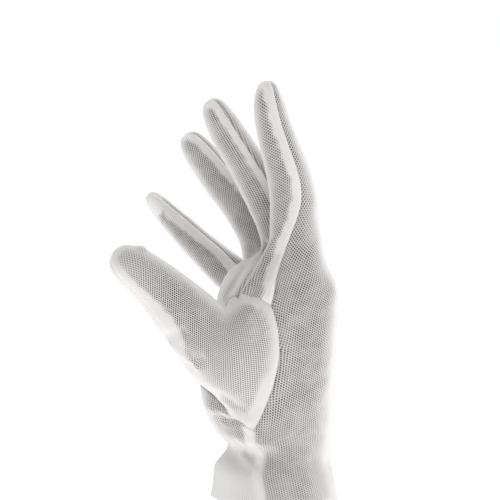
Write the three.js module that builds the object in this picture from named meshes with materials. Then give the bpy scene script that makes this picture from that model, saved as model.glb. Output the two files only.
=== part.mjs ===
// Cotton inspection glove, right hand, as worn: fingers up and a little bent, thumb held out from the palm.
// Millimetres, +Z up along the hand. The palm faces -X, the back of the hand +X and the thumb side -Y.
// The origin is the middle of the cuff's opening.
//
// The whole glove is drawn first as one coarse cage of four-sided faces: a tube for the hand, which splits
// into four finger tubes, and a thumb tube that leaves through a hole beside the palm. The cage is rounded
// by one step of Catmull-Clark subdivision. Its faces are then sorted into the cloth pieces, and each piece
// gets its thickness.

import * as THREE from "three";

// Driving sizes
const WALL = 1.0;                // knitted cloth with its sewn edges
const HEM_HEIGHT = 9;            // the cuff is turned up inside by this much
const HEM_WALL = 1.8;            // two layers of cloth at the turned hem
const SEAM_GAP = 0.3;            // space between two pieces along a seam
const SHARPEST = 0.5;            // corners of the pieces stand back by the gap over this at most
const PALM_WIDTH = 78;           // across the four knuckles
const PALM_DEPTH = 34;           // cloth to cloth over the knuckles
const KNUCKLE_HEIGHT = 99;       // above the hem
const THUMB_LENGTH = 62;         // from the thumb's own seam to its tip
const THUMB_WIDTH = 23;

// A table's rows, each as an object with its columns' names
const table = (columns, rows) => rows.map((row) => Object.fromEntries(columns.map((name, i) => [name, row[i]])));

// Fingers, from the first to the little one. length is in millimetres and width a share of PALM_WIDTH.
// Where a finger leaves the hand is given by across, out and rise, as shares of half of PALM_WIDTH, of
// PALM_DEPTH and of KNUCKLE_HEIGHT. splay is the lean away from the thumb. twist is how far the worn
// finger's seams are turned toward the palm on the thumb's side, and draw how much more the seam turns at
// the root, all in degrees. point narrows the tip, and lean is the lean of each stretch from +Z toward the
// palm.
const FINGERS = table(
  ["name", "length", "width", "across", "out", "rise", "splay", "twist", "draw", "point", "lean"],
  [
    ["index", 78, 0.308, -0.71, 0.07, 1.130, -2, -8, 50, 0.80, [6, 4, 12, 20, 20, 12, 5]],
    ["middle", 77, 0.276, -0.22, 0.15, 1.150, 0, -10, 0, 1.00, [20, 27, 31, 33, 33, 32, 28]],
    ["ring", 69, 0.269, 0.27, 0.07, 1.120, 1, -33, 0, 1.00, [22, 31, 38, 41, 41, 39, 36]],
    ["little", 63, 0.237, 0.72, -0.12, 0.985, 3, -38, 0, 0.70, [50, 50, 48, 47, 46, 44, 42]],
  ]);
// A finger's rings from its root to its tip: share of its length, half of its thickness and half of its
// breadth as shares of its width
const FINGER_RINGS = [
  { along: 0.00, thick: 0.52, broad: 0.375 },
  { along: 0.14, thick: 0.49, broad: 0.375 },
  { along: 0.30, thick: 0.455, broad: 0.385 },
  { along: 0.44, thick: 0.42, broad: 0.40 },
  { along: 0.58, thick: 0.395, broad: 0.385 },
  { along: 0.73, thick: 0.365, broad: 0.37 },
  { along: 0.87, thick: 0.32, broad: 0.35 },
  { along: 0.97, thick: 0.22, broad: 0.27 },
];
const ROOT_SHARE = 0.30;         // twist grows and draw fades over this share of the finger
const TIP_REACH = 0.6;           // how far a finger's end stands past its last ring, of the ring's thickness
// Sections of the hand's tube. low and high are heights at the thumb side's seam and at the little finger's
// side, as shares of KNUCKLE_HEIGHT. out is the middle, front and back the depths toward palm and back, as
// shares of PALM_DEPTH, wide is half of the width as a share of PALM_WIDTH, and edge is the depth left at
// the little finger's side. turn is how far the thumb side's seam is carried round toward the palm, in
// degrees, for the palm's columns and for the back's. dip is how much the hem hangs lower behind, in
// millimetres.
const HAND_SECTIONS = table(
  ["low", "high", "out", "front", "back", "wide", "edge", "turnFront", "turnBack", "dip"],
  [
    [0.000, 0.000, -0.01, 0.85, 0.88, 0.440, 1.00, 29, 29, 3.5],
    [0.091, 0.091, 0.00, 0.78, 0.82, 0.420, 1.00, 31, 31, 3.0],
    [0.172, 0.172, 0.00, 0.74, 0.76, 0.395, 1.00, 36, 36, 1.5],
    [0.246, 0.246, 0.09, 0.54, 0.66, 0.375, 1.25, 50, 50, 0.0],
    [0.296, 0.375, 0.04, 0.86, 0.70, 0.385, 0.85, 38, 38, 0.0],
    [0.333, 0.465, 0.03, 0.96, 0.74, 0.405, 0.85, 46, 46, 0.0],
    [0.500, 0.580, 0.08, 0.66, 0.68, 0.450, 0.90, 44, 34, 0.0],
    [0.687, 0.690, 0.15, 0.50, 0.60, 0.485, 0.90, 40, 26, 0.0],
    [0.879, 0.790, 0.18, 0.48, 0.59, 0.495, 0.80, 36, 24, 0.0],
    [1.000, 0.880, 0.17, 0.50, 0.61, 0.490, 0.62, 14, 20, 0.0],
  ]);
const HOLE_ROWS = [5, 8];        // sections between which the thumb's hole is cut, beside the seam
const HOLE_COLUMNS = 3;
// The hole's corners and edge points, going up the seam, over the top, down on the palm and back to the
// point below. Places are shares of PALM_DEPTH, half of PALM_WIDTH and KNUCKLE_HEIGHT.
const HOLE_EDGE = [
  { at: "point", row: 5, column: 0, x: -0.56, y: -0.54, z: 0.333 },
  { at: "seam low", row: 6, column: 0, x: -0.35, y: -0.82, z: 0.520 },
  { at: "seam high", row: 7, column: 0, x: -0.27, y: -0.96, z: 0.750 },
  { at: "web outer", row: 8, column: 0, x: -0.50, y: -1.00, z: 0.955 },
  { at: "web top", row: 8, column: 1, x: -0.65, y: -0.94, z: 0.965 },
  { at: "web inner", row: 8, column: 2, x: -0.76, y: -0.78, z: 0.940 },
  { at: "crotch", row: 8, column: 3, x: -0.76, y: -0.50, z: 0.925 },
  { at: "palm high", row: 7, column: 3, x: -0.74, y: -0.26, z: 0.790 },
  { at: "palm low", row: 6, column: 3, x: -0.88, y: -0.15, z: 0.680 },
  { at: "heel top", row: 5, column: 3, x: -1.22, y: -0.24, z: 0.610 },
  { at: "heel side", row: 5, column: 2, x: -1.10, y: -0.42, z: 0.545 },
  { at: "heel low", row: 5, column: 1, x: -0.84, y: -0.52, z: 0.450 },
];
// The web of cloth drawn from the thumb toward the first finger, on the section over the hole
const WEB = [
  { column: 0, x: -0.46, y: -0.95, z: 1.020 },
  { column: 1, x: -0.58, y: -0.84, z: 1.040 },
  { column: 2, x: -0.60, y: -0.66, z: 1.030 },
];
// The thumb's rings: share of its length, lean of its path from +Z toward the palm, facing of the ring's
// own plane, and half of its width as a share of the thumb's
const THUMB_ROOT = { x: -1.00, y: -0.64, z: 0.710 };
const THUMB_RINGS = [
  { along: 0.00, lean: 40, facing: 76, half: 0.80 },
  { along: 0.20, lean: 40, facing: 60, half: 0.66 },
  { along: 0.40, lean: 43, facing: 48, half: 0.56 },
  { along: 0.58, lean: 45, facing: 46, half: 0.475 },
  { along: 0.75, lean: 50, facing: 52, half: 0.425 },
  { along: 0.89, lean: 57, facing: 58, half: 0.37 },
  { along: 0.98, lean: 62, facing: 63, half: 0.27 },
];
const THUMB_SIDEWAYS = -5;       // degrees away from the fingers
const TIP_BULGE = 0.12;          // how far the thumb's end stands past its last ring, of the thumb's width
const TIP_INSET = 0.55;          // how far its corners stand in from the last ring

// Folds of the worn cloth: a line from one place to another, in shares as the hole's edge, how deep the
// cloth sinks there in millimetres (it rises where this is negative), and how wide the fold is
const FOLDS = [
  { at: "web ridge", from: [-0.30, -0.50, 1.16], to: [-0.72, -0.62, 0.96], depth: -1.6, reach: 4.0 },
  { at: "web valley", from: [-0.20, -0.75, 1.12], to: [-0.66, -0.76, 0.99], depth: 1.6, reach: 4.0 },
  { at: "palm valley", from: [-0.28, -0.25, 1.12], to: [-0.62, -0.42, 0.94], depth: 1.8, reach: 4.5 },
  { at: "heel crease", from: [-1.02, -0.22, 0.44], to: [-0.86, -0.48, 0.40], depth: 2.0, reach: 4.5 },
  { at: "heel roll", from: [-1.12, -0.14, 0.52], to: [-1.00, -0.40, 0.47], depth: -1.2, reach: 4.0 },
  { at: "wrist pinch", from: [-0.60, 0.10, 0.26], to: [-0.50, -0.55, 0.25], depth: 1.2, reach: 4.5 },
  { at: "wrist tuck", from: [0.62, -0.55, 0.24], to: [0.70, 0.25, 0.25], depth: 1.0, reach: 5.0 },
  { at: "knuckle slack", from: [0.72, -0.62, 1.02], to: [0.74, -0.40, 0.84], depth: -1.6, reach: 6.0 },
];

// Columns of the hand's tube: two to a finger on each side, and one more at each seam
const COLUMN_ANGLES = [0, 28, 49, 63, 77, 91, 104.5, 120, 134, 154, 180];
const FRONT = COLUMN_ANGLES.length - 1;
const RING = 2 * FRONT;
const FLATNESS = 2.4;            // power of the hand's oval: 2 is an ellipse, more is squarer

const radians = THREE.MathUtils.degToRad;

// A point of a squarish oval, at an angle from the thumb side's seam over the palm
function oval(angle, front, back, wide) {
  const s = Math.sin(radians(angle)), c = Math.cos(radians(angle));
  const r = (Math.abs(s) ** FLATNESS + Math.abs(c) ** FLATNESS) ** (-1 / FLATNESS);
  return { x: -r * s * (s > 0 ? front : back), y: -r * c * wide };
}

// How much a ring of n cage points shrinks when it is rounded
const fullness = (n) => 3 / (2 + Math.cos((2 * Math.PI) / n));

class Cage {
  constructor() {
    this.points = [];
    this.faces = [];
    this.pieces = [];
  }
  add(x, y, z) {
    this.points.push(new THREE.Vector3(x, y, z));
    return this.points.length - 1;
  }
  face(corners, piece) {
    this.faces.push(corners);
    this.pieces.push(piece);
  }
}

function handSection(cage, section, row) {
  const wide = section.wide * PALM_WIDTH, xMid = section.out * PALM_DEPTH;
  const ring = [];
  for (let i = 0; i < RING; i++) {
    const onFront = i <= FRONT;
    const base = COLUMN_ANGLES[onFront ? i : RING - i];
    const turn = onFront ? section.turnFront : section.turnBack;
    const share = base / 180;
    const angle = onFront ? base + turn * (1 - share) : -base + turn * (1 - share);
    const p = oval(angle, section.front * PALM_DEPTH, section.back * PALM_DEPTH, wide);
    const z = THREE.MathUtils.lerp(section.low, section.high, share) * KNUCKLE_HEIGHT;
    const dip = (-section.dip * p.x) / (section.back * PALM_DEPTH);
    const depth = THREE.MathUtils.lerp(1, section.edge, Math.max(0, p.y / wide));
    ring.push(cage.add(xMid + p.x * depth, p.y, z + dip));
  }
  const edge = HOLE_EDGE.filter((e) => e.row === row);
  const inner = edge.find((e) => e.column === HOLE_COLUMNS);
  for (const e of edge) cage.points[ring[e.column]].copy(handPoint(e));
  if (inner)
    for (let i = HOLE_COLUMNS + 1; i <= FRONT; i++)
      cage.points[ring[i]].z = THREE.MathUtils.lerp(
        inner.z, section.high, (i - HOLE_COLUMNS) / (FRONT - HOLE_COLUMNS)) * KNUCKLE_HEIGHT;
  return ring;
}

function handPoint(e) {
  return new THREE.Vector3(e.x * PALM_DEPTH, (e.y * PALM_WIDTH) / 2, e.z * KNUCKLE_HEIGHT);
}

// Middle and lean of each ring of a finger
function fingerPath(finger) {
  const at = new THREE.Vector3(
    finger.out * PALM_DEPTH, (finger.across * PALM_WIDTH) / 2, finger.rise * KNUCKLE_HEIGHT);
  const path = [];
  let last = 0;
  FINGER_RINGS.forEach(({ along, thick, broad }, k) => {
    const before = finger.lean[Math.max(0, k - 1)];
    const after = finger.lean[Math.min(k, finger.lean.length - 1)];
    const step = (along - last) * finger.length;
    at.add(new THREE.Vector3(
      -Math.sin(radians(before)) * step,
      Math.sin(radians(finger.splay)) * step,
      Math.cos(radians(before)) * step));
    const width = finger.width * PALM_WIDTH * THREE.MathUtils.lerp(1, finger.point, along ** 2);
    const grown = Math.min(along / ROOT_SHARE, 1);
    path.push({
      at: at.clone(),
      lean: k === 0 ? after / 2 : (before + after) / 2,
      thick: thick * width,
      broad: broad * width,
      twist: finger.twist * grown,
      draw: finger.draw * (1 - grown),
    });
    last = along;
  });
  return path;
}

// The eight places round a finger: its two seams, three on the palm's side and three on the back's
const FINGER_ANGLES = [0, 42, 90, 138, 180, 222, 270, 318];

function fingerRingPoint(station, angle) {
  const { at, lean, thick, broad, twist, draw } = station;
  const fromSeam = Math.min(angle, 360 - angle) / 180;
  const turned = radians(angle + twist + draw * (1 - fromSeam));
  const full = fullness(FINGER_ANGLES.length);
  const across = -Math.cos(turned) * broad * full, toPalm = Math.sin(turned) * thick * full;
  return new THREE.Vector3(
    at.x - Math.cos(radians(lean)) * toPalm, at.y + across, at.z - Math.sin(radians(lean)) * toPalm);
}

// The row where the hand's tube splits: neighbouring fingers share their corners and a crotch point on the
// seam
function rootRow(cage, paths) {
  const rings = paths.map((path) => FINGER_ANGLES.map((angle) => fingerRingPoint(path[0], angle)));
  const shared = (a, b) => cage.add(...a.clone().add(b).multiplyScalar(0.5).toArray());
  const one = (p) => cage.add(...p.toArray());
  const out = rings.map(() => []);
  rings.forEach((ring, f) => {
    const first = f === 0, last = f === rings.length - 1;
    out[f][0] = first ? one(ring[0]) : out[f - 1][4];
    out[f][1] = first ? one(ring[1]) : out[f - 1][3];
    out[f][7] = first ? one(ring[7]) : out[f - 1][5];
    out[f][2] = one(ring[2]);
    out[f][6] = one(ring[6]);
    out[f][3] = last ? one(ring[3]) : shared(ring[3], rings[f + 1][1]);
    out[f][4] = last ? one(ring[4]) : shared(ring[4], rings[f + 1][0]);
    out[f][5] = last ? one(ring[5]) : shared(ring[5], rings[f + 1][7]);
  });
  return out;
}

// Faces between two rings of equal length; the piece of each is chosen by its place round the ring
function joinRings(cage, low, high, pieceOf) {
  const n = low.length;
  for (let i = 0; i < n; i++) {
    const piece = pieceOf(i), j = (i + 1) % n;
    if (piece) cage.face([low[i], high[i], high[j], low[j]], piece);
  }
}

const palmOrBack = (count) => (i) => (i < count / 2 ? "palm_panel" : "back_panel");

function addFinger(cage, path, root) {
  let ring = root;
  for (const station of path.slice(1)) {
    const next = FINGER_ANGLES.map((angle) => cage.add(...fingerRingPoint(station, angle).toArray()));
    joinRings(cage, ring, next, palmOrBack(FINGER_ANGLES.length));
    ring = next;
  }
  const tip = path[path.length - 1];
  const reach = tip.thick * TIP_REACH;
  const end = cage.add(
    tip.at.x - Math.sin(radians(tip.lean)) * reach, tip.at.y, tip.at.z + Math.cos(radians(tip.lean)) * reach);
  const quarters = [[1, 0, 2], [3, 2, 4], [5, 4, 6], [7, 6, 0]];
  quarters.forEach(([corner, before, after], k) =>
    cage.face([ring[corner], ring[before], end, ring[after]], k < 2 ? "palm_panel" : "back_panel"));
}

// Direction that leans from +Z toward the palm, and sideways toward the thumb's side
function leaning(lean, sideways) {
  const side = Math.sin(radians(sideways));
  return new THREE.Vector3(-Math.sin(radians(lean)), side, Math.cos(radians(lean))).normalize();
}

function addThumb(cage, hole) {
  const count = hole.length;
  const at = handPoint(THUMB_ROOT);
  let ring = hole, last = 0;
  for (const { along, lean, facing, half } of THUMB_RINGS) {
    at.addScaledVector(leaning(lean, THUMB_SIDEWAYS), (along - last) * THUMB_LENGTH);
    const forward = leaning(facing, THUMB_SIDEWAYS);
    const near = new THREE.Vector3(0, -1, 0).addScaledVector(forward, forward.y).normalize();
    const up = new THREE.Vector3().crossVectors(forward, near).normalize();
    const r = half * THUMB_WIDTH * fullness(count);
    const next = hole.map((_, i) => {
      const angle = radians((360 / count) * (i + 1));
      const p = at.clone().addScaledVector(up, -Math.cos(angle) * r);
      return cage.add(...p.addScaledVector(near, Math.sin(angle) * r).toArray());
    });
    joinRings(cage, next, ring, () => "thumb_piece");
    ring = next;
    last = along;
  }
  capThumb(cage, ring, at, leaning(THUMB_RINGS.at(-1).facing, THUMB_SIDEWAYS));
}

// Closes a ring of twelve with three by three faces, bulging a little
function capThumb(cage, ring, at, forward) {
  const inner = [0, 3, 6, 9].map((i) => {
    const p = cage.points[ring[i]].clone().lerp(at, TIP_INSET).addScaledVector(forward, TIP_BULGE * THUMB_WIDTH);
    return cage.add(...p.toArray());
  });
  inner.forEach((corner, k) => {
    const [before, at3, after, beyond] = [-1, 0, 1, 2].map((step) => ring.at((3 * k + step) % ring.length));
    cage.face([before, at3, after, corner], "thumb_piece");
    cage.face([corner, after, beyond, inner[(k + 1) % inner.length]], "thumb_piece");
  });
  cage.face(inner, "thumb_piece");
}

function buildCage() {
  const cage = new Cage();
  const rows = HAND_SECTIONS.map((section, row) => handSection(cage, section, row));
  for (const w of WEB) cage.points[rows[rows.length - 1][w.column]].copy(handPoint(w));
  const paths = FINGERS.map(fingerPath);
  const roots = rootRow(cage, paths);
  const top = [roots[0][0]];
  roots.forEach((r) => top.push(...r.slice(1, 3)));
  top.push(roots[3][3], roots[3][4], roots[3][5]);
  for (let f = 3; f >= 0; f--) top.push(...[6, 7].map((i) => roots[f][i]));
  rows.push(top);

  const inHole = (row, i) => row >= HOLE_ROWS[0] && row < HOLE_ROWS[1] && i < HOLE_COLUMNS;
  for (let row = 0; row + 1 < rows.length; row++)
    joinRings(cage, rows[row], rows[row + 1], (i) => (inHole(row, i) ? null : palmOrBack(RING)(i)));
  FINGERS.forEach((_, f) => addFinger(cage, paths[f], roots[f]));
  addThumb(cage, HOLE_EDGE.map((e) => rows[e.row][e.column]));
  return cage;
}

// One step of Catmull-Clark subdivision, with the open edge of the cuff kept as a smooth curve of its own
function subdivide({ points, faces, pieces }) {
  const edges = new Map();
  const key = (a, b) => (a < b ? a + "," + b : b + "," + a);
  const middle = (list) => list.reduce((s, p) => s.add(p), new THREE.Vector3()).divideScalar(list.length);
  const facePoints = faces.map((f) => middle(f.map((i) => points[i])));
  faces.forEach((f, k) => f.forEach((a, i) => {
    const b = f[(i + 1) % f.length];
    if (!edges.has(key(a, b))) edges.set(key(a, b), { ends: [a, b], faces: [] });
    edges.get(key(a, b)).faces.push(k);
  }));
  const around = points.map(() => ({ faces: [], edges: [] }));
  faces.forEach((f, k) => f.forEach((i) => around[i].faces.push(k)));
  for (const edge of edges.values()) edge.ends.forEach((i) => around[i].edges.push(edge));

  const made = points.map((p, i) => {
    const open = around[i].edges.filter((e) => e.faces.length === 1);
    const ends = (list) => list.map((e) => points[e.ends[0] === i ? e.ends[1] : e.ends[0]]);
    if (open.length) return p.clone().multiplyScalar(6).add(ends(open)[0]).add(ends(open)[1]).divideScalar(8);
    const n = around[i].edges.length;
    const f = middle(around[i].faces.map((k) => facePoints[k]));
    const e = middle(ends(around[i].edges)).add(p).divideScalar(2);
    return f.addScaledVector(e, 2).addScaledVector(p, n - 3).divideScalar(n);
  });
  const faceAt = facePoints.map((p) => made.push(p) - 1);
  const edgeAt = new Map();
  for (const [k, edge] of edges) {
    const [a, b] = edge.ends.map((i) => points[i]);
    const p = edge.faces.length === 2 ? middle([a, b, ...edge.faces.map((f) => facePoints[f])]) : middle([a, b]);
    edgeAt.set(k, made.push(p) - 1);
  }
  const out = { points: made, faces: [], pieces: [] };
  faces.forEach((f, k) => f.forEach((corner, i) => {
    const after = f[(i + 1) % f.length], before = f[(i + f.length - 1) % f.length];
    out.faces.push([corner, edgeAt.get(key(corner, after)), faceAt[k], edgeAt.get(key(before, corner))]);
    out.pieces.push(pieces[k]);
  }));
  return out;
}

function vertexNormals({ points, faces }) {
  const normals = points.map(() => new THREE.Vector3());
  for (const f of faces) {
    const [a, b, c, d] = f.map((i) => points[i]);
    const n = new THREE.Vector3().crossVectors(c.clone().sub(a), d.clone().sub(b));
    f.forEach((i) => normals[i].add(n));
  }
  return normals.map((n) => n.normalize());
}

// Sinks or raises the cloth along each fold
function foldCloth(shell, normals) {
  for (const fold of FOLDS) {
    const [from, to] = [fold.from, fold.to].map(([x, y, z]) => handPoint({ x, y, z }));
    const line = new THREE.Line3(from, to), nearest = new THREE.Vector3();
    shell.points.forEach((p, i) => {
      line.closestPointToPoint(p, true, nearest);
      const share = nearest.distanceTo(p) / fold.reach;
      p.addScaledVector(normals[i], -fold.depth * Math.exp(-share * share));
    });
  }
}

// One cloth piece as a closed solid: the outer face, the inner face a wall inside it, and a rim along its
// edges, which stand back by half of the seam's gap
function pieceGeometry(shell, normals, piece, material) {
  const faces = shell.faces.filter((_, k) => shell.pieces[k] === piece);
  const halfEdges = new Map();
  for (const f of faces) f.forEach((a, i) => halfEdges.set(a + "," + f[(i + 1) % 4], [a, f[(i + 1) % 4]]));
  const rim = [...halfEdges.values()].filter(([a, b]) => !halfEdges.has(b + "," + a));
  const before = new Map(rim.map(([a, b]) => [b, a])), after = new Map(rim);
  // Across the edge and into the piece; a sharp corner stands back further, so that the gap stays even
  const standBack = (i) => {
    const p = shell.points[i];
    const arrive = p.clone().sub(shell.points[before.get(i)]).normalize();
    const leave = shell.points[after.get(i)].clone().sub(p).normalize();
    const along = arrive.add(leave);
    const straight = Math.max(along.length() / 2, SHARPEST);
    return normals[i].clone().cross(along).normalize().multiplyScalar(SEAM_GAP / 2 / straight);
  };
  const index = new Map();
  const positions = [];
  const place = (i, inner) => {
    const k = i + (inner ? "in" : "out");
    if (!index.has(k)) {
      const p = shell.points[i].clone();
      if (before.has(i)) p.add(standBack(i));
      if (inner) p.addScaledVector(normals[i], -(p.z < HEM_HEIGHT ? HEM_WALL : WALL));
      index.set(k, positions.push(p) - 1);
    }
    return index.get(k);
  };
  const triangles = [];
  const quad = (a, b, c, d) => triangles.push(a, b, c, a, c, d);
  for (const f of faces) {
    quad(...f.map((i) => place(i, false)));
    quad(...f.map((i) => place(i, true)).reverse());
  }
  for (const [a, b] of rim) quad(place(b, false), place(a, false), place(a, true), place(b, true));
  const geometry = new THREE.BufferGeometry().setFromPoints(positions);
  geometry.setIndex(triangles);
  geometry.computeVertexNormals();
  const mesh = new THREE.Mesh(geometry, material);
  mesh.name = piece;
  return mesh;
}

const glove = new THREE.Group();
const shell = subdivide(buildCage());
foldCloth(shell, vertexNormals(shell));
const normals = vertexNormals(shell);
for (const piece of ["palm_panel", "back_panel", "thumb_piece"]) {
  const cotton = new THREE.MeshStandardMaterial({ color: 0xe9e8e5, roughness: 0.95, metalness: 0 });
  glove.add(pieceGeometry(shell, normals, piece, cotton));
}

export default glove;
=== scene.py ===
# %% [markdown]
# # A thin cotton glove, sewn from three pieces of knit
# The real glove is cut flat from fine white cotton jersey. A palm panel and a back panel carry four finger
# shapes each, and one folded piece makes the thumb. Each piece here is a real sheet of cloth with its own
# thickness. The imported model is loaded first. It is the measured frame: every piece made below stands where
# its solid stands.

# %% Load the frame
import heapq
import math
import bmesh
import bpy
import numpy as np
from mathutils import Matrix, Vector, noise
from mathutils.bvhtree import BVHTree


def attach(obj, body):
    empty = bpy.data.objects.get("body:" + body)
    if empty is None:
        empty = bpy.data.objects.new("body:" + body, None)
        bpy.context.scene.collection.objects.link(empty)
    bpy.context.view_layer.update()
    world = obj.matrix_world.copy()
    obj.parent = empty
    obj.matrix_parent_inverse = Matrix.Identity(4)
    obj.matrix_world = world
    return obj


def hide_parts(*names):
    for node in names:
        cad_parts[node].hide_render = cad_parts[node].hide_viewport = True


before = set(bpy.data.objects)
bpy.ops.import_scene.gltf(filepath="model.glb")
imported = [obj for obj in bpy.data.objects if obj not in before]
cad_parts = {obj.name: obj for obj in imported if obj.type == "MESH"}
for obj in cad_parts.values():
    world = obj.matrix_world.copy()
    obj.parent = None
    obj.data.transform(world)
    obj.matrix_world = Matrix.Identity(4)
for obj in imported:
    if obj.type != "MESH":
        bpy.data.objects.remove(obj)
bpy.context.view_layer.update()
MM = 0.001
print("solids:", sorted(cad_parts))

# %% [markdown]
# ## The camera
# It comes first, because the folds below are drawn over its view and carried on to the cloth along its rays.
# The glove is seen from its thumb side, level with its middle, and a long lens keeps its upright lines
# upright.
# The view is 225 mm across.

# %% Place the camera
VIEW_TURN = math.radians(-18)
VIEW_DISTANCE = 0.75
right_way = Vector((math.cos(VIEW_TURN), math.sin(VIEW_TURN), 0))
toward_camera = Vector((math.sin(VIEW_TURN), -math.cos(VIEW_TURN), 0))
aim = -0.0099 * right_way + Vector((0, 0, 0.1139))
camera = bpy.data.objects.new("camera", bpy.data.cameras.new("camera"))
camera.data.lens, camera.data.sensor_width = 120, 36
camera.location = aim + VIEW_DISTANCE * toward_camera
camera.rotation_euler = (-toward_camera).to_track_quat("-Z", "Y").to_euler()
bpy.context.scene.collection.objects.link(camera)
bpy.context.scene.camera = camera
print("camera at", [round(v, 4) for v in camera.location])

# %% [markdown]
# ## The sizes of the worn glove
# Worn cloth is pulled into a full, round form. A simulation could find that form only over a solid shape
# inside, and its folds would fall by chance. So the form is drawn as a coarse cage instead, ring by ring,
# and rounded. That keeps every seam where the photo shows it, and each ring can be moved alone. The tables
# are the solids' own tables, in millimetres and in shares of the named sizes.

# %% Sizes of the main tube
# low and high are heights at the thumb side and at the little finger's side. out is the middle, front and
# back are the depths toward palm and back, and wide is half of the width. edge is the depth left at the
# little finger's side. The turns carry the thumb side's seam round toward the palm, and dip lets the hem
# hang lower behind.
PALM_WIDTH, PALM_DEPTH, KNUCKLE_HEIGHT = 78, 34, 99
TUBE_COLUMNS = ["low", "high", "out", "front", "back", "wide", "edge", "turn_front", "turn_back", "dip"]
TUBE_SECTIONS = [dict(zip(TUBE_COLUMNS, row)) for row in [
    (0.000, 0.000, -0.01, 0.77, 0.88, 0.440, 1.00, 29, 29, 3.5),
    (0.091, 0.091, 0.00, 0.73, 0.82, 0.420, 1.00, 31, 31, 3.0),
    (0.172, 0.172, 0.00, 0.74, 0.76, 0.395, 1.00, 36, 36, 1.5),
    (0.246, 0.246, 0.09, 0.46, 0.66, 0.375, 1.25, 50, 50, 0.0),
    (0.296, 0.375, 0.04, 0.86, 0.70, 0.385, 0.85, 38, 38, 0.0),
    (0.333, 0.465, 0.03, 0.96, 0.74, 0.405, 0.85, 46, 46, 0.0),
    (0.500, 0.580, 0.08, 0.66, 0.68, 0.450, 0.90, 44, 34, 0.0),
    (0.687, 0.690, 0.15, 0.50, 0.60, 0.485, 0.90, 40, 26, 0.0),
    (0.879, 0.790, 0.18, 0.48, 0.59, 0.495, 0.80, 36, 24, 0.0),
    (1.000, 0.880, 0.17, 0.50, 0.61, 0.490, 0.62, 14, 20, 0.0)]]
COLUMN_ANGLES = [0, 28, 49, 63, 77, 91, 104.5, 120, 134, 154, 180]
FRONT = len(COLUMN_ANGLES) - 1
RING = 2 * FRONT
FLATNESS = 2.4

# %% Sizes of the fingers
# across, out and rise say where a finger leaves the palm. splay is its lean away from the thumb, and lean
# that of each of its stretches toward the palm. twist turns its seams, draw turns them more at the root,
# and point narrows its tip. A ring is a share of the length, and half of the thickness and of the breadth
# as shares of the width.
FINGER_COLUMNS = ["name", "length", "width", "across", "out", "rise",
                  "splay", "lean", "twist", "draw", "point"]
FINGERS = [dict(zip(FINGER_COLUMNS, row)) for row in [
    ("index", 78, 0.308, -0.71, 0.07, 1.130, -2, [6, 4, 12, 20, 20, 12, 5], -8, 50, 0.80),
    ("middle", 77, 0.276, -0.22, 0.15, 1.150, 0, [20, 27, 31, 33, 33, 32, 28], -10, 0, 1.00),
    ("ring", 69, 0.269, 0.27, 0.07, 1.120, 1, [22, 31, 38, 41, 41, 39, 36], -33, 0, 1.00),
    ("little", 63, 0.237, 0.72, -0.12, 0.985, 3, [50, 50, 48, 47, 46, 44, 42], -38, 0, 0.70)]]
FINGER_RINGS = [(0.00, 0.52, 0.375), (0.14, 0.49, 0.375), (0.30, 0.455, 0.385), (0.44, 0.42, 0.40),
                (0.58, 0.395, 0.385), (0.73, 0.365, 0.37), (0.87, 0.32, 0.35), (0.97, 0.22, 0.27)]
FINGER_ANGLES = [0, 42, 90, 138, 180, 222, 270, 318]
ROOT_SHARE = 0.30
TIP_REACH = 0.6

# %% Sizes of the thumb and of the hole it is sewn into
THUMB_LENGTH, THUMB_WIDTH, THUMB_SIDEWAYS = 62, 23, -5
TIP_BULGE, TIP_INNER = 0.12, 0.55
HOLE_ROWS, HOLE_COLUMNS = (5, 8), 3
HOLE_EDGE = [  # section, column, and the place as shares of PALM_DEPTH, half of PALM_WIDTH and KNUCKLE_HEIGHT
    (5, 0, (-0.45, -0.56, 0.285)), (6, 0, (-0.28, -0.84, 0.510)), (7, 0, (-0.18, -0.98, 0.740)),
    (8, 0, (-0.42, -1.00, 0.955)), (8, 1, (-0.65, -0.94, 0.965)), (8, 2, (-0.76, -0.78, 0.940)),
    (8, 3, (-0.76, -0.50, 0.925)), (7, 3, (-0.74, -0.26, 0.790)), (6, 3, (-0.88, -0.15, 0.680)),
    (5, 3, (-1.20, -0.25, 0.600)), (5, 2, (-1.00, -0.45, 0.560)), (5, 1, (-0.76, -0.57, 0.500))]
WEB = [  # where the palm's cloth is stretched like a tent between the thumb and the fingers
    (9, 0, (-0.42, -0.95, 1.020)), (9, 1, (-0.58, -0.84, 1.040)), (9, 2, (-0.60, -0.66, 1.030)),
    (9, 3, (-0.55, -0.26, 1.110)), (9, 4, (-0.56, -0.03, 1.110)), (9, 5, (-0.46, 0.16, 1.080)),
    (8, 4, (-0.92, -0.12, 0.970)), (8, 5, (-0.62, 0.15, 0.960)), (7, 4, (-0.82, -0.02, 0.810)),
    (7, 5, (-0.60, 0.20, 0.800))]
HEEL = [(4, 1, (-0.80, -0.51, 0.305)), (4, 2, (-0.935, -0.31, 0.317)), (4, 3, (-0.89, -0.10, 0.325))]
THUMB_ROOT = (-1.00, -0.64, 0.710)
# Share of the length, lean of the tube and of the ring, and half of the width as a share of THUMB_WIDTH
THUMB_RINGS = [(0.00, 40, 76, 0.80), (0.20, 40, 60, 0.66), (0.40, 43, 48, 0.56), (0.58, 45, 46, 0.475),
               (0.75, 50, 52, 0.425), (0.89, 57, 58, 0.37), (0.98, 62, 63, 0.27)]
CLOSING_COLUMN, FOLD_COLUMN, THUMB_TWIST, TWIST_SHARE = 10, 4, 55, 0.5
print(len(FINGERS), "fingers,", len(TUBE_SECTIONS), "sections of the main tube")

# %% [markdown]
# ## The cage
# A cage is a few hundred four-sided faces, and each one knows the cloth piece it belongs to. The main
# tube, from the hem to the fingers' roots, has twenty columns and splits into four finger tubes of eight.
# The thumb is a tube of twelve that leaves through a hole in the palm.

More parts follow.
